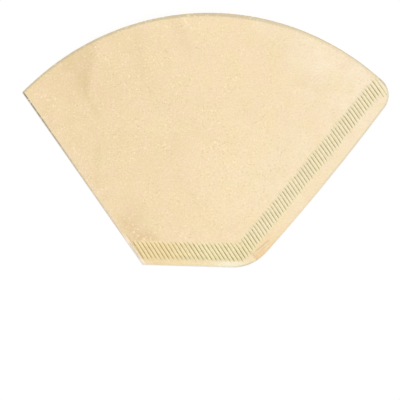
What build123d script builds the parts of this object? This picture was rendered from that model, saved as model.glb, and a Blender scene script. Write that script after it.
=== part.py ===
from build123d import *
import os
from math import ceil, cos, radians, sin, sqrt, tan

# Paper coffee filter of the fan-shaped cone kind, as it comes out of the pack: folded flat.
#
# One sheet of crepe filter paper is folded once, along the left side. The right side and the base
# are closed by a crimp, a band of fine slanting ridges that presses the two plies into each other.
# The curved side is the open mouth. The filter lies on its back ply, and its front ply bellies a
# little clear of it towards the mouth.
#
# Frame, in millimetres: the underside of the back ply is Z = 0, +Y runs from the base to the mouth
# and +X from the fold to the crimped side. The origin is on the filter's middle line, halfway
# between the base edge and the middle of the mouth.

# Outline of the folded filter, measured to its sharp corners. Both sides lean out by side_angle
# from the middle line. The crimped one is cut a little convex, by side_bow at its middle.
base_width = 48.7
side_angle = 37.7
side_bow = 1.25
mouth_radius = 114.7
mouth_height = 113.9
mouth_corner = 9.0
base_corner = 19.4

# Paper: one ply, the room left between the plies, and the rise of the front ply
ply = 0.20
slack = 0.10
belly_height = 2.4
front_step = 1.4
front_reach = 0.3

# Crimp: a ridged band along the side and the base, inside a plain margin. Its ridges fall from
# left to right by ridge_angle, nearly in line with the fold.
side_margin = 4.75
side_band = 6.2
base_margin = 2.8
base_band = 7.0
band_corner = 5.0
parting = 0.8
ridge_angle = 54.5
ridge_pitch = 1.56
groove_floor = 0.30
groove_flank = 0.16
ridge_height = 0.20

# Places that follow from the sizes above
turn = radians(side_angle)
slope = tan(turn)
closed = 2 * ply + slack
band_side = side_margin + side_band
band_base = base_margin + base_band
seam_side = band_side + parting
seam_base = band_base + parting
mouth_centre = mouth_height - mouth_radius
clear = 2 * closed + belly_height + ridge_height


def level(z):
    """A flat plane at a height, with its origin under the middle of the base edge."""
    return Plane(origin=(0, -mouth_height / 2, z))


def station(y):
    """An upright plane across the filter, a distance from the base edge."""
    return Plane(origin=(0, y - mouth_height / 2, 0), x_dir=(1, 0, 0), z_dir=(0, -1, 0))


def side_x(y, inset=0.0):
    """How far a side of the fan, moved in by inset, stands from the middle line at y."""
    return base_width / 2 + y * slope - inset / cos(turn)


def mouth_end(inset=0.0):
    """Where a side of the fan, moved in by inset, meets the arc of the mouth."""
    start = side_x(mouth_centre, inset)
    square = 1 + slope ** 2
    rise = (sqrt(square * mouth_radius ** 2 - start ** 2) - slope * start) / square
    return start + rise * slope, mouth_centre + rise


def fan(side_in=0.0, base_in=0.0, fold_in=closed / 2, bow=0.0):
    """The fan's outline with its crimped side, its base and its fold each moved in."""
    fold_x, fold_y = mouth_end(fold_in)
    end_x, end_y = mouth_end(side_in)
    start_x = side_x(base_in, side_in)
    middle = ((start_x + end_x) / 2 + bow * cos(turn), (base_in + end_y) / 2 - bow * sin(turn))
    with BuildSketch() as shape:
        with BuildLine():
            Polyline((-fold_x, fold_y), (-side_x(base_in, fold_in), base_in), (start_x, base_in))
            if bow:
                ThreePointArc((start_x, base_in), middle, (end_x, end_y))
            else:
                Line((start_x, base_in), (end_x, end_y))
            ThreePointArc((end_x, end_y), (0, mouth_height), (-fold_x, fold_y))
        make_face()
    return shape.sketch


def base_rounded(radius, **sizes):
    """The fan with its corner between the base and the crimped side rounded."""
    with BuildSketch() as shape:
        add(fan(**sizes))
        right_half = shape.vertices().filter_by_position(Axis.X, 0, side_x(mouth_height))
        fillet(right_half.sort_by(Axis.Y)[0], radius)
    return shape.sketch


def outline():
    """The whole cut outline, up to the middle of the fold's round."""
    with BuildSketch() as shape:
        add(base_rounded(base_corner, bow=side_bow))
        fillet(shape.vertices().sort_by(Axis.X)[-1], mouth_corner)
    return shape.sketch


def band():
    """The crimped band: along the base, round the corner and up the side to the mouth."""
    with BuildSketch() as shape:
        add(outline())
        add(base_rounded(band_corner, side_in=side_margin, base_in=base_margin), mode=Mode.INTERSECT)
        add(fan(band_side, band_base), mode=Mode.SUBTRACT)
    return shape.sketch


def lens(y, roof, fold_in, rise):
    """A cross-section of the pocket at y, from below the filter to a roof that arches by rise."""
    left = -side_x(y, fold_in)
    right = side_x(y, seam_side)
    with BuildSketch(station(y)) as section:
        with BuildLine():
            Polyline((left, roof), (left, -clear), (right, -clear), (right, roof))
            if rise:
                ThreePointArc((right, roof), ((left + right) / 2, roof + rise), (left, roof))
            else:
                Line((right, roof), (left, roof))
        make_face()
    return section.sketch


def pocket(floor, roof, fold_in):
    """The pocket from the crimped base, where it is flat, to past the mouth, above its floor."""
    end = mouth_height + mouth_corner
    rise = belly_height * (end - seam_base) / (mouth_height - seam_base)
    with BuildPart() as length:
        loft([lens(seam_base, roof, fold_in, 0), lens(end, roof, fold_in, rise)], ruled=True)
        split(bisect_by=level(floor), keep=Keep.TOP)
    return length.part


def crimp_profile():
    """The crimped plies seen along the ridges: lands with narrow grooves pressed between them."""
    fall = radians(ridge_angle)
    end_x, end_y = mouth_end()
    reach = (side_x(0) + end_x) * sin(fall) + end_y * cos(fall)
    wave = []
    for index in range(-1, ceil(reach / ridge_pitch) + 1):
        middle = index * ridge_pitch
        wave += [
            (middle - groove_floor / 2 - groove_flank, ridge_height),
            (middle - groove_floor / 2, 0),
            (middle + groove_floor / 2, 0),
            (middle + groove_floor / 2 + groove_flank, ridge_height),
        ]
    back = wave
    front = [(x, z + closed) for x, z in reversed(wave)]
    return back + front + back[:1]


def across(angle):
    """An upright plane through the fold's foot, square to a line that falls at an angle."""
    fall = radians(angle)
    return Plane(
        origin=(-side_x(0, closed / 2), -mouth_height / 2, 0),
        x_dir=(sin(fall), cos(fall), 0),
        z_dir=(cos(fall), -sin(fall), 0),
    )


run = mouth_height + mouth_radius

with BuildPart() as crimp:
    with BuildSketch(across(ridge_angle)):
        with BuildLine():
            Polyline(*crimp_profile())
        make_face()
    extrude(amount=run, both=True)
    with BuildSketch(level(-clear)):
        add(band())
    extrude(amount=2 * clear, mode=Mode.INTERSECT)

with BuildPart() as coffee_filter:
    # Front ply's belly over the pocket, and the round of the fold
    add(pocket(closed / 2, closed, closed / 2))
    with BuildSketch(across(90 - side_angle)):
        with BuildLine():
            Line((0, 0), (0, closed))
            ThreePointArc((0, closed), (-closed / 2, closed / 2), (0, 0))
        make_face()
    extrude(amount=run, both=True)
    with BuildSketch(level(-clear)):
        add(fan(fold_in=-closed))
    extrude(amount=2 * clear, mode=Mode.INTERSECT)

    # Both plies pressed flat, out to the outline
    with BuildSketch(level(0)):
        add(outline())
    extrude(amount=closed)

    # Inside of the pocket, open at the mouth
    add(pocket(ply, ply + slack, ply), mode=Mode.SUBTRACT)

    # Front ply's own mouth edge, cut a little lower than the back ply's
    with BuildSketch(level(ply + slack / 2)):
        left_x, left_y = mouth_end()
        right_x, right_y = mouth_end(seam_side)
        with BuildLine():
            ThreePointArc(
                (-left_x, left_y + front_reach),
                (0, mouth_height - front_step),
                (right_x, right_y + front_reach),
            )
            Polyline(
                (right_x, right_y + front_reach),
                (right_x, mouth_height + mouth_corner),
                (-left_x, mouth_height + mouth_corner),
                (-left_x, left_y + front_reach),
            )
        make_face()
    extrude(amount=clear, mode=Mode.SUBTRACT)

    # Crimped band in place of the flat one
    with BuildSketch(level(-clear)):
        add(band())
    extrude(amount=2 * clear, mode=Mode.SUBTRACT)
    add(crimp.part)

coffee_filter.part.label = "coffee_filter"
os.makedirs("parts", exist_ok=True)
export_step(coffee_filter.part, "parts/coffee_filter.step")
print("outline", coffee_filter.part.bounding_box())
print("volume", round(coffee_filter.part.volume, 1), "solids", len(coffee_filter.part.solids()))
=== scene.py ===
# %% [markdown]
# A paper coffee filter, folded flat as it comes out of the pack. The real thing is one sheet of
# unbleached paper, cut by a die, folded once and crimped shut along two sides by toothed wheels.
# This lesson models that one sheet with bmesh operators and gives it a procedural paper.
#
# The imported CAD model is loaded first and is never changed. It gives the filter's height and its
# place, and our sheet stands where its solid stands.

from math import atan2, ceil, cos, pi, radians, sin, sqrt, tan

import bmesh
import bpy
from mathutils import Matrix, Vector, noise


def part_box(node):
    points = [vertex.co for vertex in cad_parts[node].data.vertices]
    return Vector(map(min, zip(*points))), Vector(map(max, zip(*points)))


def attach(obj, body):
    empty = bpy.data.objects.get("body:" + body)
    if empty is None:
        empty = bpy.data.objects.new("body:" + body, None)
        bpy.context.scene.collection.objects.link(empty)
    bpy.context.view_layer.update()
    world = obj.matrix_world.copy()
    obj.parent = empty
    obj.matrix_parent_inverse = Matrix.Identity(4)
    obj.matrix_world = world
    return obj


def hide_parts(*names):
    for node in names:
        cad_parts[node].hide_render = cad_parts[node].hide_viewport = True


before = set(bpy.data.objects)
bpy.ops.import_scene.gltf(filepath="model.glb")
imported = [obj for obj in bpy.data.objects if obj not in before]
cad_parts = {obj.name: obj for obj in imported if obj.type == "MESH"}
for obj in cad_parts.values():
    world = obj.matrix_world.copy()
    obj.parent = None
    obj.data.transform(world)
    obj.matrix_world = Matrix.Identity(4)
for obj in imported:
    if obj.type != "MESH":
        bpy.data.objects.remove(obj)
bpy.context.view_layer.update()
low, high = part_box("coffee_filter")
millimetre = 0.001
mouth_height = (high.y - low.y) / millimetre
print("the packed model has", len(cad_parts), "node")
print("the filter is", round(mouth_height, 2), "mm from the base edge to the middle of the mouth")

# %% [markdown]
# The sizes below are the real ones, in millimetres. Modelling in millimetres keeps the numbers
# readable, and keeps the mesh tools away from lengths so small that they count as zero. The
# finished mesh is scaled to metres once, at the end.
#
# The outline is a fan: two sides that lean out by the same angle, a straight base, and a mouth
# that is an arc about a point near the base. The fold is on the left, and the crimp runs along
# the base and the right side, as a band inside a plain margin. slack is the air between the plies
# where they lie shut, belly is how far the front ply stands up at the mouth, front_step how much
# lower it is cut there, and parting the gap between the crimp and the place where they part.

# %% Sizes of the outline, the paper and the crimp
base_width = 48.7
side_angle = 37.7
side_bow = 1.25
mouth_radius = 114.7
mouth_corner = 9.0
base_corner = 19.4

ply = 0.20
slack = 0.10
belly = 2.4
front_step = 1.4

side_margin = 4.75
side_band = 6.2
base_margin = 2.8
base_band = 7.0
band_corner = 5.0
parting = 0.8
ridge_angle = 54.5
ridge_pitch = 1.56
groove_floor = 0.16
groove_flank = 0.14
ridge_height = 0.20

turn = radians(side_angle)
closed = 2 * ply + slack
base_y = -mouth_height / 2
mouth_centre = Vector((0, base_y + mouth_height - mouth_radius, 0))

# %% [markdown]
# Most shapes here are told by a distance from a line: from the crimped side, from the base or
# from the fold. A small class keeps a line as a point on it and the direction out of the paper,
# and gives how far inside the line a place lies. The mesh, the crimp and later the material all
# use the same lines, so nothing can drift apart.

# %% Lines of the fan
class Line:
    """A line in the plane of the paper. Its distances are counted inwards."""

    def __init__(self, point, out_angle, inset=0.0):
        self.out = Vector((cos(out_angle), sin(out_angle), 0))
        self.point = Vector(point) - self.out * inset

    def inside(self, place):
        return (self.point - place).dot(self.out)


base_right = Vector((base_width / 2, base_y, 0))
base_left = Vector((-base_width / 2, base_y, 0))
side_out = -turn
base_out = -pi / 2
fold_out = pi + turn
side = Line(base_right, side_out)
base = Line(base_left, base_out)
fold_axis = Line(base_left, fold_out, closed / 2)
up_side = Vector((sin(turn), cos(turn), 0))
up_fold = Vector((-sin(turn), cos(turn), 0))
print("the sides lean out by", side_angle, "degrees, so the fan opens by", 2 * side_angle)

# %% [markdown]
# The outline is drawn as with a compass. bmesh.ops.spin turns one vertex about a centre and
# leaves a chain of edges behind it, which is an arc. Four arcs in a row go round the corner at
# the base, up the slightly bowed side, round the corner at the mouth and along the mouth. Where
# two rounds meet, their centres and the meeting point lie on one line, and that is all the
# geometry they need.

# %% Centres of the rounds
def mouth_end(start, upwards):
    """Where a straight side that starts at the base meets the arc of the mouth."""
    gap = start - mouth_centre
    ahead = gap.dot(upwards)
    return start + upwards * (sqrt(ahead ** 2 - gap.length_squared + mouth_radius ** 2) - ahead)


def round_inside(one, one_radius, other, other_radius, radius):
    """Centre of a small round that touches two large ones from inside, on their right."""
    one_gap = one_radius - radius
    apart = (other - one).length
    ahead = (one_gap ** 2 - (other_radius - radius) ** 2 + apart ** 2) / (2 * apart)
    forward = (other - one).normalized()
    across = Vector((-forward.y, forward.x, 0)) * sqrt(one_gap ** 2 - ahead ** 2)
    middle = one + forward * ahead
    return max(middle + across, middle - across, key=lambda place: place.x)


side_end = mouth_end(base_right, up_side)
half_chord = (side_end - base_right).length / 2
bow_radius = (half_chord ** 2 + side_bow ** 2) / (2 * side_bow)
bow_centre = (base_right + side_end) / 2 - side.out * (bow_radius - side_bow)
corner_y = base_y + base_corner
corner_reach = sqrt((bow_radius - base_corner) ** 2 - (corner_y - bow_centre.y) ** 2)
corner_centre = Vector((bow_centre.x + corner_reach, corner_y, 0))
tip_centre = round_inside(bow_centre, bow_radius, mouth_centre, mouth_radius, mouth_corner)
fold_start = Vector((base_left.x + closed / 2 / cos(turn), base_y, 0))
fold_end = mouth_end(fold_start, up_fold)
print("the crimped side bows out on a radius of", round(bow_radius), "mm")

# %% [markdown]
# contextual_create is the operator behind the F key: given a closed chain of edges, it fills it
# with one face. The face looks up when its corners run anticlockwise, as ours do, and a check of
# its normal makes sure.

# %% Draw the outline and fill it
def angle_from(centre, place):
    return atan2(place.y - centre.y, place.x - centre.x)


def compass(bm, vert, centre, end_angle, steps):
    """Spins a vertex about a centre to an angle, and gives the vertex at the arc's end."""
    sweep = end_angle - angle_from(centre, vert.co)
    spun = bmesh.ops.spin(bm, geom=[vert], cent=centre, axis=(0, 0, 1), angle=sweep, steps=steps)
    return [item for item in spun["geom_last"] if isinstance(item, bmesh.types.BMVert)][0]


bow_out = angle_from(bow_centre, corner_centre)
tip_out = angle_from(bow_centre, tip_centre)
mouth_out = angle_from(mouth_centre, tip_centre)
mouth_left = angle_from(mouth_centre, fold_end)

# each arc's centre, the angle at which it ends, and its number of steps
arcs = (
    (corner_centre, bow_out, 14),
    (bow_centre, tip_out, 24),
    (tip_centre, mouth_out, 16),
    (mouth_centre, mouth_left, 90),
)
sheet = bmesh.new()
foot = sheet.verts.new(fold_start)
tip = sheet.verts.new((corner_centre.x, base_y, 0))
sheet.edges.new((foot, tip))
for centre, end_angle, steps in arcs:
    tip = compass(sheet, tip, centre, end_angle, steps)
sheet.edges.new((tip, foot))
bmesh.ops.contextual_create(sheet, geom=sheet.edges[:])
sheet.normal_update()
if sheet.faces[:][0].normal.z < 0:
    bmesh.ops.reverse_faces(sheet, faces=sheet.faces[:])
ply_area = sum(face.calc_area() for face in sheet.faces)
print("one ply has", len(sheet.verts), "corners and", round(ply_area / 100, 1), "square cm")

# %% [markdown]
# One big face can't bend. bisect_plane slices it into small cells, first with a plain grid and
# then along the lines where the crimp starts and ends. Slicing keeps the outline exactly as
# drawn, which laying a ready-made grid over it would not.
#
# The crimp's outer line rounds the corner at the base. A few slices that lean step by step from
# the base's direction to the side's make that round.

# %% Slice the fan into cells
cell = 2.0
on_plane = 1e-4
corner_slices = 5


def leaning_lines(centre, radius, first_out, last_out, count):
    """Lines that go round a corner: each touches a circle and leans a step further."""
    step = (last_out - first_out) / (count - 1)
    return [Line(centre, first_out + step * index, -radius) for index in range(count)]


def slice_along(bm, line, inset, faces):
    """Cuts faces along a line that is moved in by inset, and gives the faces that come of it."""
    parts = {item for face in faces for item in (*face.verts, *face.edges, face)}
    cut = bmesh.ops.bisect_plane(
        bm, geom=list(parts), dist=on_plane,
        plane_co=line.point - line.out * inset, plane_no=line.out,
    )
    return [item for item in cut["geom"] if isinstance(item, bmesh.types.BMFace)]


band_top = base_y + base_margin + band_corner
band_x = base_right.x + (band_top - base_y) * tan(turn) - (side_margin + band_corner) / cos(turn)
outer_lines = leaning_lines((band_x, band_top, 0), band_corner, base_out, side_out, corner_slices)
inner_lines = [
    Line(base_left, base_out, base_margin + base_band),
    Line(base_right, side_out, side_margin + side_band),
]


def in_from_outer(place):
    """How far a place lies inside the crimp's outer line."""
    return min(line.inside(place) for line in outer_lines)


def past_inner(place):
    """How far a place lies past the crimp's inner line, on the pocket's side."""
    return min(line.inside(place) for line in inner_lines)


def near_line(faces, line, inset, reach):
    """The faces whose middles lie within reach of a line that is moved in by inset."""
    found = []
    for face in faces:
        if abs(line.inside(face.calc_center_median()) - inset) < reach:
            found.append(face)
    return found


def band_faces(bm):
    """The faces of the crimped band."""
    found = []
    for face in bm.faces:
        middle = face.calc_center_median()
        if in_from_outer(middle) > 0 and past_inner(middle) < 0:
            found.append(face)
    return found


grid_lines = ceil(high.x / millimetre / cell)
for across in (Line((0, 0, 0), 0), Line((0, 0, 0), pi / 2)):
    for index in range(-grid_lines, grid_lines + 1):
        slice_along(sheet, across, index * cell, sheet.faces[:])
for line in outer_lines:
    beside = [face for face in sheet.faces if abs(in_from_outer(face.calc_center_median())) < cell]
    slice_along(sheet, line, 0, near_line(beside, line, 0, 2 * cell))
for line in inner_lines:
    beside = [face for face in sheet.faces if abs(past_inner(face.calc_center_median())) < 2 * cell]
    slice_along(sheet, line, 0, beside)
print("the fan has", len(sheet.faces), "cells, of which", len(band_faces(sheet)), "are crimped")

# %% [markdown]
# The crimp is a corrugation: flat lands with narrow grooves between them, all parallel and
# nearly in line with the fold. For each groove five slices make its floor, its two flanks and
# the middle of the land beside it. One more slice, taper inside the band's own lines, lets each
# land slope down to the plain paper, where the wheels let go of it.

# %% Slice the grooves of the crimp
taper = 0.45
ridge_fall = radians(ridge_angle)
ridge_zero = Line(fold_start, -pi / 2 - ridge_fall)
ridge_count = ceil(ridge_zero.inside(side_end) / ridge_pitch)
groove_wall = groove_floor / 2 + groove_flank
groove_slices = (-groove_wall, -groove_floor / 2, groove_floor / 2, groove_wall, ridge_pitch / 2)

for line in outer_lines:
    slice_along(sheet, line, taper, near_line(band_faces(sheet), line, taper, 2 * cell))
for line in inner_lines:
    slice_along(sheet, line, -taper, band_faces(sheet))
crimped = set(band_faces(sheet))
for index in range(-1, ridge_count):
    for shift in groove_slices:
        inset = index * ridge_pitch + shift
        beside = near_line(crimped, ridge_zero, inset, 2 * cell)
        crimped.update(slice_along(sheet, ridge_zero, inset, beside))
print(ridge_count, "grooves are sliced, and the fan has", len(sheet.faces), "cells")

# %% [markdown]
# The wheels press both plies together, so the front and the back get the same wave: the lands
# stand a fifth of a millimetre above the grooves. The wave is worked out once, on the flat fan,
# before the fan is doubled. It runs out at the fold too, so that the fold stays straight.

# %% Press the crimp
def clamp(value, least=0.0, most=1.0):
    return max(least, min(most, value))


def land_rise(place):
    """0 on a groove's floor and 1 on the lands between the grooves."""
    from_groove = abs((ridge_zero.inside(place) / ridge_pitch + 0.5) % 1 - 0.5) * ridge_pitch
    return clamp((from_groove - groove_floor / 2) / groove_flank)


def crimp_rise(place):
    """Height of the crimp's wave at a place, which runs out at the band's own lines."""
    rim = min(in_from_outer(place), -past_inner(place), fold_axis.inside(place))
    return ridge_height * land_rise(place) * clamp(rim / taper)


for vert in sheet.verts:
    vert.co.z = crimp_rise(vert.co)
print("the lands rise by", round(max(vert.co.z for vert in sheet.verts), 3), "mm")

# %% [markdown]
# Folding comes next. The fan is copied: the copy becomes the back ply, turned over so that it
# looks down, and the first becomes the front ply. The fold itself is the front ply's left edge,
# spun by half a turn about the fold's axis. Its last edge lands on the back ply's, and
# remove_doubles welds the two, so that the paper is one sheet all round.

# %% Fold the sheet
on_line = 1e-3
weld = 2e-3
fold_steps = 8

front_verts = sheet.verts[:]
copied = bmesh.ops.duplicate(sheet, geom=sheet.verts[:] + sheet.edges[:] + sheet.faces[:])["geom"]
back_verts = [item for item in copied if isinstance(item, bmesh.types.BMVert)]
back_faces = [item for item in copied if isinstance(item, bmesh.types.BMFace)]
bmesh.ops.reverse_faces(sheet, faces=back_faces)
bmesh.ops.translate(sheet, vec=(0, 0, closed), verts=front_verts)

fold_verts = [vert for vert in front_verts if abs(fold_axis.inside(vert.co)) < on_line]
fold_edges = [
    edge for edge in {edge for vert in fold_verts for edge in vert.link_edges}
    if edge.is_boundary and all(abs(fold_axis.inside(vert.co)) < on_line for vert in edge.verts)
]
bmesh.ops.spin(
    sheet, geom=fold_verts + fold_edges, cent=fold_start + Vector((0, 0, closed / 2)),
    axis=up_fold, angle=-pi, steps=fold_steps,
)
before = len(sheet.verts)
bmesh.ops.remove_doubles(sheet, verts=sheet.verts[:], dist=weld)
print("the fold welded", before - len(sheet.verts), "vertices along", len(fold_edges), "edges")

# %% [markdown]
# A ply of paper never lies dead flat, except where it is held: along the fold and along the
# crimp. Two functions say how free a place is, and both are zero there. One eases up to 1 a little
# way inside the seams, and will scale the waves and the creases. The other grows all the way to
# the middle of the mouth, and will scale the belly of the pocket.

# %% Where the plies are held
seam_base = base_margin + base_band + parting
seam_side = side_margin + side_band + parting
hold_zone = 14.0


def on_sheet(x, up):
    """A place on the sheet, from its distance right of the middle and above the base edge."""
    return Vector((x, base_y + up, 0))


def ease(share):
    """A share from 0 to 1, made to start and end level."""
    return share ** 2 * (3 - 2 * share)


def free_share(place):
    """Goes smoothly from 0 at the seams and the fold to 1 a little way inside them."""
    from_base_seam = base.inside(place) - seam_base
    from_held = min(fold_axis.inside(place), side.inside(place) - seam_side, from_base_seam)
    return ease(clamp(from_held / hold_zone))


def looseness(place):
    """0 where the ply is held, by the fold or a crimp, and 1 where it is freest."""
    fold_gap = max(0.0, fold_axis.inside(place))
    seam_gap = max(0.0, side.inside(place) - seam_side)
    up = max(0.0, (base.inside(place) - seam_base) / (mouth_height - seam_base))
    if fold_gap + seam_gap == 0:
        return 0.0
    return up * 4 * fold_gap * seam_gap / (fold_gap + seam_gap) ** 2


print("the middle of the mouth is loose by", round(looseness(on_sheet(0, mouth_height)), 2))

# %% [markdown]
# Both plies carry a few long, low waves from the roll that the paper was cut from. They come from
# a noise that is a fixed function of the place, so they are the same on every run. The front ply
# also has four soft creases, where it was once pressed. Each is a low step: the ply stands higher
# on its right, the slope is wider at one end than at the other, and both ends run out.

# %% Waves and soft creases
wave_height = 0.55
wave_long = 34.0
wave_short = 13.0
wave_squash = 0.55
long_share = 0.7
short_share = 0.3
crease_share = 0.70
crease_reach = 25.0

# each crease: its two ends, its rise, its width at each end, and the shares of its length at
# which it is fully grown and at which it starts to run out
creases = (
    (on_sheet(-54.5, 112.0), on_sheet(-53.9, 70.0), 0.8, 18.0, 2.5, 0.15, 0.7),
    (on_sheet(-33.0, 114.0), on_sheet(-23.0, 70.0), 0.25, 6.0, 3.0, 0.2, 0.3),
    (on_sheet(-20.0, 122.0), on_sheet(-4.5, 92.0), 0.28, 5.0, 4.0, 0.2, 0.3),
    (on_sheet(-44.0, 36.0), on_sheet(-22.0, 6.0), 0.8, 8.0, 7.0, 0.6, 0.7),
)


def waves(place, seed):
    """Long and short waves of the paper, of about one part up or down."""
    shifted = Vector((place.x, place.y, 0)) + Vector((seed, 3 * seed, 0))
    squashed = Vector((shifted.x, wave_squash * shifted.y, 0))
    long_wave = long_share * noise.noise(squashed / wave_long)
    return long_wave + short_share * noise.noise(shifted / wave_short)


def crease_step(place, crease):
    """Rise of the ply over a soft crease, from its left to its right."""
    start, end, rise, first_width, last_width, grown, fading = crease
    length = (end - start).length
    along = (end - start) / length
    spoke = place - start
    share = spoke.dot(along) / length
    aside = along.x * spoke.y - along.y * spoke.x
    over = clamp(0.5 + aside / (first_width + (last_width - first_width) * clamp(share)))
    strength = clamp(min(share / grown, (1 - share) / (1 - fading)))
    spent = crease_reach / (crease_reach + max(0.0, aside))
    return crease_share * rise * strength * ease(over) * spent


print("the front ply has", len(creases), "soft creases")

# %% [markdown]
# Now the vertices are moved by those formulas. The front ply bellies away from the back one
# towards the mouth, where nothing holds it. It is also cut a little lower there, so that a thumb
# finds the opening: it is pulled down most at the middle of the mouth, and not at all at the ends.

# %% Belly and the lower mouth edge of the front ply
belly_power = 1.15
back_lift = 0.10
front_seed = 17.0
back_seed = 51.0
pull_zone = 22.0
mouth_widest = mouth_left - pi / 2


def front_rise(place):
    """How far the front ply stands up at a place."""
    loose_part = wave_height * waves(place, front_seed)
    loose_part += sum(crease_step(place, crease) for crease in creases)
    return belly * looseness(place) ** belly_power + loose_part * free_share(place)


def back_rise(place):
    """How far the back ply stands up at a place: hardly, because it lies on the floor."""
    return back_lift * looseness(place) * (1 + waves(place, back_seed))


def lower_mouth(place):
    """The place pulled towards the mouth's centre, as far as the front ply is cut lower."""
    spoke = place - mouth_centre
    spoke.z = 0
    aside = atan2(spoke.x, spoke.y) / mouth_widest
    pull = clamp(1 - (mouth_radius - spoke.length) / pull_zone) ** 2
    return place - spoke.normalized() * front_step * clamp(1 - aside ** 2) * pull


for vert in front_verts:
    if vert.is_valid:
        rise = front_rise(vert.co)
        vert.co = lower_mouth(vert.co)
        vert.co.z += rise
for vert in back_verts:
    if vert.is_valid:
        vert.co.z += back_rise(vert.co)
tallest = max(vert.co.z for vert in sheet.verts)
print("the front ply stands", round(tallest - closed, 2), "mm above its seams")

# %% [markdown]
# Until now the sheet is a skin without thickness: the outer face of the paper all round. The
# solidify operator gives it the ply's thickness inwards and closes the rim at the mouth and along
# the cut edges. Paper has crisp cut edges, so edges that turn sharply are marked sharp, and the
# rest is shaded smooth.

# %% Give the sheet its thickness and make it an object
sharp_turn = radians(60)


def sheet_object(bm, name):
    """The finished mesh in metres, as an object at the origin."""
    bmesh.ops.scale(bm, vec=(millimetre, millimetre, millimetre), verts=bm.verts[:])
    for face in bm.faces:
        face.smooth = True
    for edge in bm.edges:
        edge.smooth = edge.calc_face_angle(0) < sharp_turn
    mesh = bpy.data.meshes.new(name)
    bm.to_mesh(mesh)
    bm.free()
    made = bpy.data.objects.new(name, mesh)
    bpy.context.scene.collection.objects.link(made)
    return made


bmesh.ops.recalc_face_normals(sheet, faces=sheet.faces[:])
top_face = max(sheet.faces, key=lambda face: face.calc_center_median().z)
if top_face.normal.z < 0:
    bmesh.ops.reverse_faces(sheet, faces=sheet.faces[:])
sheet.normal_update()
bmesh.ops.solidify(sheet, geom=sheet.faces[:], thickness=ply)
open_edges = [edge for edge in sheet.edges if not edge.is_manifold]
heights = [vert.co.z for vert in sheet.verts]
print("the sheet has", len(open_edges), "open edges")
print("it lies from", round(min(heights), 3), "to", round(max(heights), 3), "mm")
filter_sheet = sheet_object(sheet, "filter_sheet")
print("the sheet has", len(filter_sheet.data.polygons), "faces")

# %% [markdown]
# Now the paper itself. Filter paper is a felt of short wood fibres: cream-coloured, matt, cloudy
# where the pulp lies thicker, and speckled with lighter and darker fibres. Nothing about it is
# printed, so it needs no picture, only noise at the right sizes and distances from our lines.
#
# A material like this is mostly arithmetic on a place, and in Blender each step of arithmetic is
# a node. A small class keeps a node tree and has one method for each kind of step, so that the
# recipe further down reads like a recipe. The floor and the sky use the same class.

# %% A recipe of shader nodes
class Recipe:
    """A node tree that is written down step by step."""

    def __init__(self, owner):
        owner.use_nodes = True
        self.tree = owner.node_tree

    def node(self, kind, inputs=(), **settings):
        """A new node. Its inputs are values, or outputs of other nodes, by name or number."""
        made = self.tree.nodes.new(kind)
        for name, value in settings.items():
            setattr(made, name, value)
        for name, value in dict(inputs).items():
            self.feed(made, name, value)
        return made

    def feed(self, node, name, value):
        """Sets one input of a node, or links the output of another node to it."""
        told_apart = {socket.identifier: socket for socket in node.inputs}
        socket = told_apart[name] if name in told_apart else node.inputs[name]
        if isinstance(value, bpy.types.NodeSocket):
            self.tree.links.new(value, socket)
        else:
            socket.default_value = value

    def calc(self, operation, *values):
        """One step of arithmetic on values."""
        return self.node("ShaderNodeMath", dict(enumerate(values)), operation=operation).outputs[0]

    def vector(self, operation, inputs, output="Vector"):
        """One step of arithmetic on places or colours."""
        return self.node("ShaderNodeVectorMath", inputs, operation=operation).outputs[output]

    def fade(self, value, start, end, low=0.0, high=1.0):
        """Goes smoothly from low to high while value goes from start to end."""
        inputs = {"Value": value, "From Min": start, "From Max": end, "To Min": low, "To Max": high}
        return self.node("ShaderNodeMapRange", inputs, interpolation_type="SMOOTHSTEP").outputs[0]

    def tint(self, colour, share, other):
        """A colour mixed with a share of another."""
        inputs = {"Factor_Float": share, "A_Color": colour, "B_Color": other}
        mixed = self.node("ShaderNodeMix", inputs, data_type="RGBA")
        return next(socket for socket in mixed.outputs if socket.identifier == "Result_Color")


def linear(red, green, blue):
    """A colour as it is read off a screen, 0 to 255, as the light values that shaders work in."""
    shares = [part / 255 for part in (red, green, blue)]
    lights = [((share + 0.055) / 1.055) ** 2.4 if share > 0.04045 else share / 12.92 for share in shares]
    return lights + [1.0]


paper = bpy.data.materials.new("unbleached_filter_paper")
recipe = Recipe(paper)
calc, vector, fade, tint = recipe.calc, recipe.vector, recipe.fade, recipe.tint
print("a mid grey of 128 on screen is", round(linear(128, 128, 128)[0], 3), "to a shader")

# %% [markdown]
# Every pattern is read from Object coordinates, which stay with the object however it is turned,
# brought back to millimetres. The same lines as in the mesh give the distances. Near the cut edge
# there are more of them: a fan of lines that lean step by step goes round each corner, and the
# least of all the distances is the distance from the outline.

# %% Places on the paper, as node outputs
object_place = recipe.node("ShaderNodeTexCoord").outputs["Object"]
place = vector("SCALE", {0: object_place, "Scale": 1 / millimetre})
cut_slices = 8


def distance_inside(line):
    """How far inside a line of the fan the shaded place lies."""
    along = vector("DOT_PRODUCT", {0: place, 1: line.out}, "Value")
    return calc("SUBTRACT", line.point.dot(line.out), along)


def inside_circle(centre, radius):
    """How far inside a circle the shaded place lies."""
    return calc("SUBTRACT", radius, vector("DISTANCE", {0: place, 1: centre}, "Value"))


def joined(operation, values):
    """Several node outputs joined by one operation, from the first to the last."""
    found = values[0]
    for value in values[1:]:
        found = calc(operation, found, value)
    return found


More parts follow.
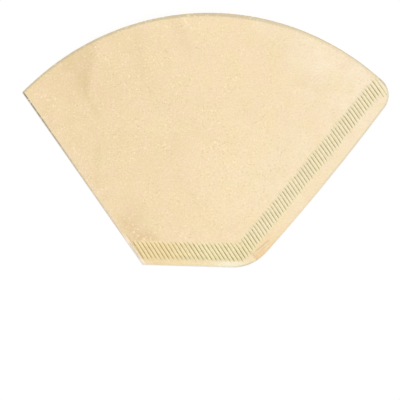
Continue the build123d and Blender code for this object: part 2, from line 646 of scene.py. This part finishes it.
from_fold = distance_inside(fold_axis)
from_side = distance_inside(side)
from_base = distance_inside(base)
from_mouth = inside_circle(mouth_centre, mouth_radius)
right_of_middle = distance_inside(Line(on_sheet(0.0, 0.0), pi))
cut_lines = leaning_lines(corner_centre, base_corner, base_out, bow_out, cut_slices)
cut_lines += leaning_lines(tip_centre, mouth_corner, tip_out, mouth_out, cut_slices)
from_lines = [distance_inside(line) for line in cut_lines]
from_lines += [inside_circle(bow_centre, bow_radius), from_mouth, from_base]
from_cut = joined("MINIMUM", from_lines)
print("the cut edge is told by", len(from_lines), "distances")

# %% [markdown]
# A pattern is a share from 0 to 1: how much of a colour lies at a place. Most are fades. The
# numbers of a fade are where it starts and ends, in millimetres or in the level of a noise, and
# then the shares at those two ends. Patterns are multiplied where all of them must hold, and the
# colours are laid over each other like thin glazes, each with its own share.

# %% Patterns and layers of colour
def near(value, target, reach):
    """1 where a value is at its target, and 0 from reach away on."""
    return fade(calc("ABSOLUTE", calc("SUBTRACT", value, target)), 0.0, reach, 1.0, 0.0)


def overlap(*shares):
    """The product of several shares: high only where all of them are."""
    return joined("MULTIPLY", shares)


def noise_at(scale, detail=2.0, stretch=(1, 1, 1), turned=0.0, rough=0.5):
    """Noise about a mean of one half, scale to the millimetre."""
    inputs = {"Vector": place, "Rotation": (0, 0, turned), "Scale": stretch}
    where = recipe.node("ShaderNodeMapping", inputs).outputs[0]
    inputs = {"Vector": where, "Scale": scale, "Detail": detail, "Roughness": rough}
    return recipe.node("ShaderNodeTexNoise", inputs).outputs[0]


def paint(colour, layers):
    """A colour with layers over it, each given as its share and its own colour."""
    for share, other in layers:
        colour = tint(colour, share, other)
    return colour


# %% [markdown]
# The ground colour changes slowly across the filter. It is painted darker and browner towards the
# fold, as painted shade on the side turned away from the lamp, and lighter towards the crimped
# side, as painted light on the side that faces it. It is also browner towards the mouth and lighter
# towards the base. Over that go clouds of five to ten millimetres, faintly yellow or pink, where the
# felt is thicker or thinner. Each layer is weak by itself, and together they keep the surface from
# ever being one flat colour.

# %% Ground and clouds
cream = linear(246, 224, 185)
fold_side_shade_tan = linear(240, 214, 171)
mouth_tan = linear(238, 208, 163)
lit_side_pale = linear(252, 237, 210)
pale_low = linear(251, 231, 192)
pale_yellow = linear(243, 223, 174)
pale_pink = linear(248, 221, 190)
cloud_push = 60.0

cloudy_from_fold = calc("ADD", from_fold, calc("MULTIPLY", noise_at(0.045), cloud_push))
toward_mouth = overlap(fade(from_base, 40.0, 114.0, 0.0, 0.50), fade(from_fold, 25.0, 85.0, 1.0, 0.25))
colour = paint(cream, [
    # painted shade: darker towards the fold, on the side turned away from the lamp
    (fade(cloudy_from_fold, 40.0, 100.0, 0.75, 0.0), fold_side_shade_tan),
    # painted light: lighter towards the crimped side, which faces the lamp
    (fade(cloudy_from_fold, 118.0, 163.0, 0.0, 0.88), lit_side_pale),
    (fade(from_side, 12.0, 50.0, 0.35, 0.0), lit_side_pale),
    (fade(from_base, 10.0, 62.0, 0.22, 0.0), pale_low),
    (toward_mouth, mouth_tan),
    (fade(noise_at(0.11), 0.38, 0.68, 0.0, 0.38), pale_yellow),
    (fade(noise_at(0.15, turned=0.7), 0.40, 0.70, 0.0, 0.38), pale_pink),
])
print("the ground and its clouds take", len(recipe.tree.nodes), "nodes")

# %% [markdown]
# Where paper has been bent it takes the light a little differently, and the mesh's soft creases
# are too low to show that by themselves. So faint streaks of painted shade, greener than the
# ground, lie on and near them, and a browner wedge of painted shade lies over the first. Low on the
# left the paper is painted darkest, as painted shade in a hollow that follows the fold, goes up from
# its foot and lies along the crimped band. A little above the band it is also a little darker.

# %% Streaks and hollows
streak_shade_olive = linear(229, 205, 158)
wedge_shade_tan = linear(223, 196, 146)
hollow_shade_tan = linear(226, 194, 146)
low_tan = linear(244, 214, 164)
low_fade = 6.0
high_fade = 5.0

# each streak of painted shade: its share, a place on it, how it leans, where it runs out low and high,
# its reach
shade_streaks = (
    (0.36, on_sheet(-52.1, 73.8), 35, 64.0, 80.0, 1.8),
    (0.24, on_sheet(-23.5, 77.5), 35, 68.0, 86.0, 1.3),
    (0.22, on_sheet(-29.0, 92.0), 12, 80.0, 108.0, 6.0),
    (0.24, on_sheet(-10.5, 103.0), 25, 92.0, 118.0, 4.5),
    (0.32, on_sheet(-46.9, 42.0), 0, 30.0, 56.0, 3.0),
)


def soft_line(middle, lean, low_end, high_end, reach):
    """A soft line across the paper, which runs out at two heights above the base."""
    beside = near(distance_inside(Line(middle, radians(lean))), 0.0, reach)
    above_low = fade(from_base, low_end, low_end + low_fade)
    below_high = fade(from_base, high_end - high_fade, high_end, 1.0, 0.0)
    return overlap(beside, above_low, below_high)


wedge_right = distance_inside(Line(on_sheet(-49.2, 93.4), radians(-10)))
wedge_left = distance_inside(Line(on_sheet(-62.0, 85.0), radians(215)))
wedge_shade = overlap(fade(wedge_right, -1.0, 2.5), fade(wedge_left, -4.0, 4.0), fade(from_base, 66.0, 80.0))
above_foot = near(distance_inside(Line(on_sheet(-29.0, 20.0), 0)), 0.0, 8.0)
along_band = overlap(fade(from_fold, 2.0, 6.0), fade(from_fold, 9.0, 15.0, 1.0, 0.0))
shaded_hollow = joined("MAXIMUM", [
    overlap(near(from_fold, 5.0, 6.5), fade(from_base, 14.0, 27.0, 1.0, 0.0)),
    overlap(above_foot, fade(from_base, 20.0, 33.0, 0.5, 0.0)),
    overlap(near(from_base, 12.5, 6.0), along_band),
])
# painted shade of the wedge, the streaks and the hollow, laid over the ground
colour = paint(colour, [(overlap(wedge_shade, 0.38), wedge_shade_tan)])
colour = paint(colour, [(overlap(soft_line(*line), share), streak_shade_olive) for share, *line in shade_streaks])
colour = paint(colour, [
    (overlap(shaded_hollow, 0.60), hollow_shade_tan),
    (overlap(fade(from_base, 14.0, 36.0, 0.18, 0.0), fade(from_fold, 18.0, 32.0)), low_tan),
])
print("with the streaks and hollows it takes", len(recipe.tree.nodes), "nodes")

# %% [markdown]
# Where the wheels crush the plies, the paper turns denser: the band looks paler and greener. The
# bottoms of the grooves are painted olive, partly for the denser paper and partly as painted shade
# in the grooves. The mesh already has the grooves, and the material only colours them. The distance
# from the nearest groove comes from a modulo, like the wave in the mesh, and a little noise makes
# one groove bite deeper than the next. The marks run out softly past both sides of the band, and
# near the mouth they run on towards the cut edge of the side.

# %% Where the crimp's band and marks lie
ragged_size = 2.4
tip_overrun = 2.2

outer_edge = joined("MINIMUM", [distance_inside(line) for line in outer_lines])
inner_edge = joined("MINIMUM", [distance_inside(line) for line in inner_lines])
tip_edge = calc("ADD", outer_edge, fade(from_mouth, 4.0, 7.0, tip_overrun, 0.0))
ragged = calc("MULTIPLY", calc("SUBTRACT", noise_at(0.8, 1.0), 0.5), ragged_size)
ragged_inner = calc("ADD", inner_edge, ragged)
in_band = overlap(
    fade(tip_edge, -0.9, 0.5), fade(ragged_inner, -0.3, 1.2, 1.0, 0.0), fade(from_mouth, 0.8, 2.6)
)
marks_reach = overlap(
    fade(calc("ADD", tip_edge, ragged), -0.9, 0.6),
    fade(ragged_inner, -0.6, 1.2, 1.0, 0.0),
    fade(calc("ADD", from_mouth, ragged), 1.6, 3.4),
)
in_ridges = calc("ADD", calc("DIVIDE", distance_inside(ridge_zero), ridge_pitch), 0.5)
from_groove = calc("ABSOLUTE", calc("SUBTRACT", calc("FRACT", in_ridges), 0.5))
# the groove colour: partly the denser paper, partly painted shade in the grooves
groove_mark_and_shade = fade(calc("MULTIPLY", from_groove, ridge_pitch), 0.05, 0.26, 1.0, 0.0)
bite = overlap(fade(noise_at(0.35), 0.32, 0.62, 0.60, 0.95), fade(from_base, 8.0, 20.0, 1.0, 0.85))
print("the band's edges wander by up to", ragged_size / 2, "mm")

# %% [markdown]
# The crimp's colours change along it. On the left of the base the paper is warm and the grooves
# are brown, and towards the side both turn greener. The margin under the band is pale, nearly
# white where it goes round the corner, and it is warm again at the foot of the side.

# %% Colours of the crimp and its margins
band_ground = linear(242, 230, 190)
base_ground = linear(243, 219, 163)
right_ground = linear(242, 228, 179)
groove_olive = linear(144, 132, 88)
groove_brown = linear(166, 140, 90)
base_pale = linear(246, 222, 173)
right_pale = linear(247, 227, 181)
corner_white = linear(251, 243, 216)

greener = fade(right_of_middle, -18.0, 8.0)
round_corner = overlap(near(right_of_middle, 14.5, 11.0), fade(from_base, 3.0, 6.0, 1.0, 0.0))
side_foot = overlap(near(from_base, 11.0, 10.0), fade(right_of_middle, 20.0, 26.0))
colour = paint(colour, [
    (fade(from_base, 1.5, 5.0, 0.80, 0.0), tint(base_pale, greener, right_pale)),
    (overlap(round_corner, fade(outer_edge, -0.7, 0.4, 0.95, 0.0)), corner_white),
    (overlap(side_foot, fade(outer_edge, -0.6, 0.3, 0.45, 0.0)), low_tan),
    (overlap(in_band, 0.8), band_ground),
    (overlap(in_band, fade(from_base, 8.0, 16.0, 0.8, 0.0)), tint(base_ground, greener, right_ground)),
    (overlap(groove_mark_and_shade, marks_reach, bite), tint(groove_brown, greener, groove_olive)),
])
print("with the crimp it takes", len(recipe.tree.nodes), "nodes")

# %% [markdown]
# A fold is seen as a line. Its crease is painted dark, as painted shade on the round of the fold,
# which turns away from the lamp, with a pale rim beside it, and it grows weaker towards the base.
# Where the crimp's wheels ran over it, it is pressed flat instead, and painted pale beside a brown
# line, as a painted highlight along the flattened fold.

# %% The fold
fold_shade_dark = linear(116, 110, 98)
crease_brown = linear(196, 166, 120)
pale_line_and_highlight = linear(254, 240, 220)
pale_rim = linear(238, 228, 208)

on_crimp = fade(from_base, 10.0, 14.5, 1.0, 0.0)
off_crimp = fade(from_base, 12.0, 18.0)
# painted shade on the fold's round, which turns away from the lamp
crease = overlap(near(from_fold, 0.12, 0.54), off_crimp, fade(from_base, 25.0, 85.0, 0.15, 1.0))
brown_line = overlap(near(from_fold, 1.45, 0.55), on_crimp, fade(from_base, 1.0, 3.0, 0.0, 0.6))
colour = paint(colour, [
    (overlap(near(from_fold, 1.0, 0.9), off_crimp, 0.30), pale_rim),
    (crease, fold_shade_dark),
    (brown_line, crease_brown),
    # painted highlight along the flattened foot of the fold
    (overlap(fade(from_fold, 0.85, 1.35, 0.75, 0.0), on_crimp), pale_line_and_highlight),
])
print("with the fold it takes", len(recipe.tree.nodes), "nodes")

# %% [markdown]
# A cut edge is painted a little greyer than the paper. Round the corner at the base it is painted
# brown, as a painted shadow where the edge meets the floor. At the mouth the back ply stands out
# past the front one, and its strip is painted tan, as painted shade from the front ply. The front
# ply's edge before it is a soft grey line of painted shade, clear on the left and faint on the
# right. To follow that edge, the formula that pulled the front ply down is written once more, as
# nodes, from the angle about the mouth's centre.

# %% The cut edges and the mouth
back_ply_shade_tan = linear(230, 203, 160)
cut_grey = linear(204, 200, 176)
rim_shade_grey = linear(199, 189, 159)
corner_shadow_brown = linear(160, 136, 98)

spoke = vector("SUBTRACT", {0: place, 1: mouth_centre})
spoke_right, spoke_up = recipe.node("ShaderNodeSeparateXYZ", {0: spoke}).outputs[:2]
aside = calc("DIVIDE", calc("ARCTAN2", spoke_right, spoke_up), mouth_widest)
cut_lower = calc("MULTIPLY", calc("SUBTRACT", 1.0, calc("MULTIPLY", aside, aside)), front_step)
past_front = calc("SUBTRACT", cut_lower, from_mouth)
mouth_shade_line = overlap(near(past_front, -0.35, 1.10), fade(aside, 0.00, 0.70, 0.80, 0.22))
corner_edge_shadow = overlap(near(right_of_middle, 22.0, 9.0), fade(from_base, 8.0, 14.0, 1.0, 0.0))
colour = paint(colour, [
    # painted shade on the back ply's strip past the front ply's edge
    (fade(past_front, -0.1, 0.2, 0.0, 0.30), back_ply_shade_tan),
    (overlap(fade(from_cut, 0.30, 1.00, 0.50, 0.0), fade(from_base, 15.0, 60.0, 0.35, 1.0)), cut_grey),
    # painted shade along the front ply's edge at the mouth
    (overlap(mouth_shade_line, fade(from_mouth, 2.6, 3.2, 1.0, 0.0)), rim_shade_grey),
    # painted shadow under the cut edge round the corner at the base
    (overlap(corner_edge_shadow, fade(from_cut, 0.05, 0.50, 0.45, 0.0)), corner_shadow_brown),
])
print("with the cut edges it takes", len(recipe.tree.nodes), "nodes")

# %% [markdown]
# Near the corner at the base, the tracks of the two wheels meet. The paper is pinched there, and
# keeps a short pressed mark: a thin line, the margin warmer outside it with two pale lines that
# run beside the first, and a crease across its lower end.

# %% The pressed mark at the corner
mark_warm = linear(237, 205, 156)
mark_line = linear(205, 182, 138)
press_place = on_sheet(25.64, 7.28)
press_lean = radians(48.5)
press_drop = 2.15

from_press = distance_inside(Line(press_place, -press_lean))
up_press = distance_inside(Line(press_place, -pi / 2 - press_lean, -press_drop))
press_long = overlap(fade(up_press, -0.2, 0.5), fade(up_press, 9.0, 9.8, 1.0, 0.0))
pinch = overlap(near(up_press, 0.2, 0.6), fade(from_press, 1.0, 2.2, 1.0, 0.0))
colour = paint(colour, [
    (overlap(fade(from_press, -0.3, 0.3, 0.75, 0.0), press_long), mark_warm),
    (overlap(near(from_press, 0.0, 0.45), fade(up_press, 1.6, 2.4, 0.0, 0.6), press_long), mark_line),
    (overlap(near(from_press, -0.65, 0.45), press_long, 0.35), pale_line_and_highlight),
    (overlap(near(from_press, -1.85, 0.5), fade(up_press, 4.5, 6.0, 0.0, 0.4), press_long), pale_line_and_highlight),
    (overlap(pinch, 0.5), mark_line),
])
print("with the pressed mark it takes", len(recipe.tree.nodes), "nodes")

# %% [markdown]
# Last come the fibres, over everything. A few flecks and short fibres stand out from the felt,
# pale ones and dark ones, and the fibres lie in two directions. The flecks come in patches, and
# are weaker towards the right, on the crimp and on its margins. Then fine noises make the whole
# felt lighter and darker from one half millimetre to the next.

# %% Felt, flecks and fibres
light_speck = linear(255, 234, 196)
dark_speck = linear(214, 190, 148)
fibre_stretch = (0.5, 3.4, 1)
felt_floor = 0.80

patchy = overlap(
    fade(noise_at(0.12), 0.42, 0.58, 0.40, 0.95),
    fade(from_fold, 60.0, 120.0, 1.0, 0.65),
    fade(inner_edge, -3.0, 1.0, 0.35, 1.0),
)
pale_flecks = fade(noise_at(1.05, 1.0), 0.56, 0.70, 0.0, 0.88)
dark_flecks = fade(noise_at(1.15, 1.0, turned=1.1), 0.56, 0.72, 0.0, 0.42)
pale_fibres = fade(noise_at(0.9, stretch=fibre_stretch, turned=0.5), 0.58, 0.72, 0.0, 0.30)
dark_fibres = fade(noise_at(0.9, stretch=fibre_stretch, turned=-0.9), 0.58, 0.72, 0.0, 0.22)
colour = paint(colour, [
    (overlap(pale_flecks, patchy), light_speck),
    (overlap(dark_flecks, patchy), dark_speck),
    (pale_fibres, light_speck),
    (dark_fibres, dark_speck),
])
brightness = joined("ADD", [
    calc("MULTIPLY", noise_at(2.0, rough=0.7), 0.24),
    calc("MULTIPLY", noise_at(1.2, 1.0), 0.12),
    calc("MULTIPLY", noise_at(0.13, turned=0.3), 0.04),
    felt_floor,
])
colour = vector("SCALE", {0: colour, "Scale": brightness})
print("the paper's colour takes", len(recipe.tree.nodes), "nodes")

# %% [markdown]
# The relief finer than the mesh is a bump: the crepe of the felt and its fibres. The bump's
# distance is the height of that relief, about a tenth of a millimetre. Paper is matt, so the
# shader is rough and hardly mirrors, and a thin sheen stands for the loose fibres that catch
# light at a low angle. Those numbers are the same all over, so they are set on the shader itself.

# %% Relief and shader
relief_height = 0.14
relief_strength = 0.7
crepe_share = 0.7
fuzz_share = 0.3

crepe = calc("MULTIPLY", noise_at(1.6, 3.0, rough=0.6), crepe_share)
fuzz = calc("MULTIPLY", noise_at(4.5), fuzz_share)
bump = recipe.node("ShaderNodeBump", {
    "Height": calc("ADD", crepe, fuzz),
    "Strength": relief_strength,
    "Distance": relief_height * millimetre,
})
shader = recipe.tree.nodes["Principled BSDF"]
recipe.feed(shader, "Base Color", colour)
recipe.feed(shader, "Normal", bump.outputs[0])
shader.inputs["Roughness"].default_value = 0.9
shader.inputs["Specular IOR Level"].default_value = 0.2
shader.inputs["Sheen Weight"].default_value = 0.08
shader.inputs["Sheen Roughness"].default_value = 0.6
filter_sheet.data.materials.append(paper)
print("the paper's material has", len(recipe.tree.nodes), "nodes")

# %% [markdown]
# The sheet stands for the CAD solid of the same filter, which is hidden. It rides on the one body
# there is. The size of the blank that it was cut from is worked out as well: two fans side by side,
# mirrored at the fold.

tip_reach = fold_axis.inside(tip_centre) + mouth_corner
blank_half = max(fold_axis.inside(side_end), tip_reach)
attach(filter_sheet, "root")
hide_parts("coffee_filter")

# %% [markdown]
# The filter lies on a plain white floor, and the camera looks down on it. A pale floor lit at a
# plain level would come out light grey, so a little light of its own is added for camera rays
# alone: it lifts the floor to white and keeps the filter's shadow on it.

# %% Floor
floor_size = 4.0
floor_drop = 0.02
floor_grey = 0.50
white_level = 1.02


def plain_floor():
    bm = bmesh.new()
    bmesh.ops.create_grid(bm, x_segments=1, y_segments=1, size=floor_size)
    bmesh.ops.translate(bm, vec=(0, 0, -floor_drop * millimetre), verts=bm.verts[:])
    mesh = bpy.data.meshes.new("floor")
    bm.to_mesh(mesh)
    bm.free()
    made = bpy.data.objects.new("floor", mesh)
    bpy.context.scene.collection.objects.link(made)
    return made


def seen_rays(steps):
    """1 for the rays that carry the picture of a background: straight, mirrored or let through."""
    rays = steps.node("ShaderNodeLightPath").outputs
    mirrored = steps.calc("MAXIMUM", rays["Is Camera Ray"], rays["Is Glossy Ray"])
    return steps.calc("MAXIMUM", mirrored, rays["Is Transmission Ray"])


floor = plain_floor()
white = bpy.data.materials.new("white_floor")
whiten = Recipe(white)
matt = whiten.node("ShaderNodeBsdfDiffuse", {"Color": (floor_grey, floor_grey, floor_grey, 1)})
lift = whiten.calc("MULTIPLY", seen_rays(whiten), white_level - floor_grey)
glow = whiten.node("ShaderNodeEmission", {"Strength": lift})
summed = whiten.node("ShaderNodeAddShader", {0: matt.outputs[0], 1: glow.outputs[0]})
whiten.feed(whiten.tree.nodes["Material Output"], "Surface", summed.outputs[0])
whiten.tree.nodes.remove(whiten.tree.nodes["Principled BSDF"])
floor.data.materials.append(white)
print("the floor lies", floor_drop, "mm under the filter")

# %% [markdown]
# The light is that of a plain studio: an even sky, and one broad lamp high at the upper right. It
# falls square across the ridges of the crimp, which gives each a bright and a shaded flank, and
# it leaves the fold, on the far side, in shade. A level floor under a sky of strength s sends
# back s times its colour, and a sun of strength E at an angle a from overhead sends back
# E cos a / pi. Shares that add up to one make a colour render as written.

# %% Light
sun_share = 0.40
sun_tilt = radians(42)
sun_from = radians(35)
sun_spread = radians(30)

world = bpy.data.worlds.new("studio")
bpy.context.scene.world = world
sky = Recipe(world)
background = sky.tree.nodes["Background"]
background.inputs["Color"].default_value = (1, 1, 1, 1)
levels = {"Value": seen_rays(sky), "To Min": 1 - sun_share, "To Max": 1.0}
sky.feed(background, "Strength", sky.node("ShaderNodeMapRange", levels).outputs[0])

lamp = bpy.data.lights.new("broad_lamp", "SUN")
lamp.energy = sun_share * pi / cos(sun_tilt)
lamp.angle = sun_spread
lamp_object = bpy.data.objects.new("broad_lamp", lamp)
lamp_turn = Matrix.Rotation(sun_from + pi / 2, 4, "Z")
lamp_object.matrix_world = lamp_turn @ Matrix.Rotation(sun_tilt, 4, "X")
bpy.context.scene.collection.objects.link(lamp_object)
print("the lamp gives", round(sun_share, 2), "of the light, the sky", round(1 - sun_share, 2))

# %% [markdown]
# The photograph's camera faced the filter nearly square on, a little from one side and turned by
# two degrees. Those angles, the distance and the aim were worked out from the outline in the
# picture. Turning is done about the paper's middle, so each angle can be read by itself.

# %% Camera
picture_size = 400
focal_pixels = 911
camera_pitch = radians(-5.735)
camera_yaw = radians(-8.526)
camera_roll = radians(-1.977)
camera_distance = 405.07
aim_right = 0.683
aim_up = 26.754
aim_height = 56.0

camera = bpy.data.cameras.new("camera")
camera.sensor_width = 36.0
camera.lens = camera.sensor_width * focal_pixels / picture_size
camera.clip_start = 0.01
camera_object = bpy.data.objects.new("camera", camera)
roll = Matrix.Rotation(camera_roll, 3, "Z")
pitch = Matrix.Rotation(camera_pitch, 3, "X")
yaw = Matrix.Rotation(camera_yaw, 3, "Y")
facing = (roll @ pitch @ yaw).transposed()
aim = Vector((0, base_y + aim_height, 0))
stand = aim + facing @ Vector((-aim_right, -aim_up, camera_distance))
camera_object.matrix_world = Matrix.Translation(stand * millimetre) @ facing.to_4x4()
bpy.context.scene.collection.objects.link(camera_object)
bpy.context.scene.camera = camera_object
bpy.context.scene.view_settings.view_transform = "Standard"
print("the camera stands", round(camera_distance), "mm away, with a lens of", round(camera.lens, 1), "mm")
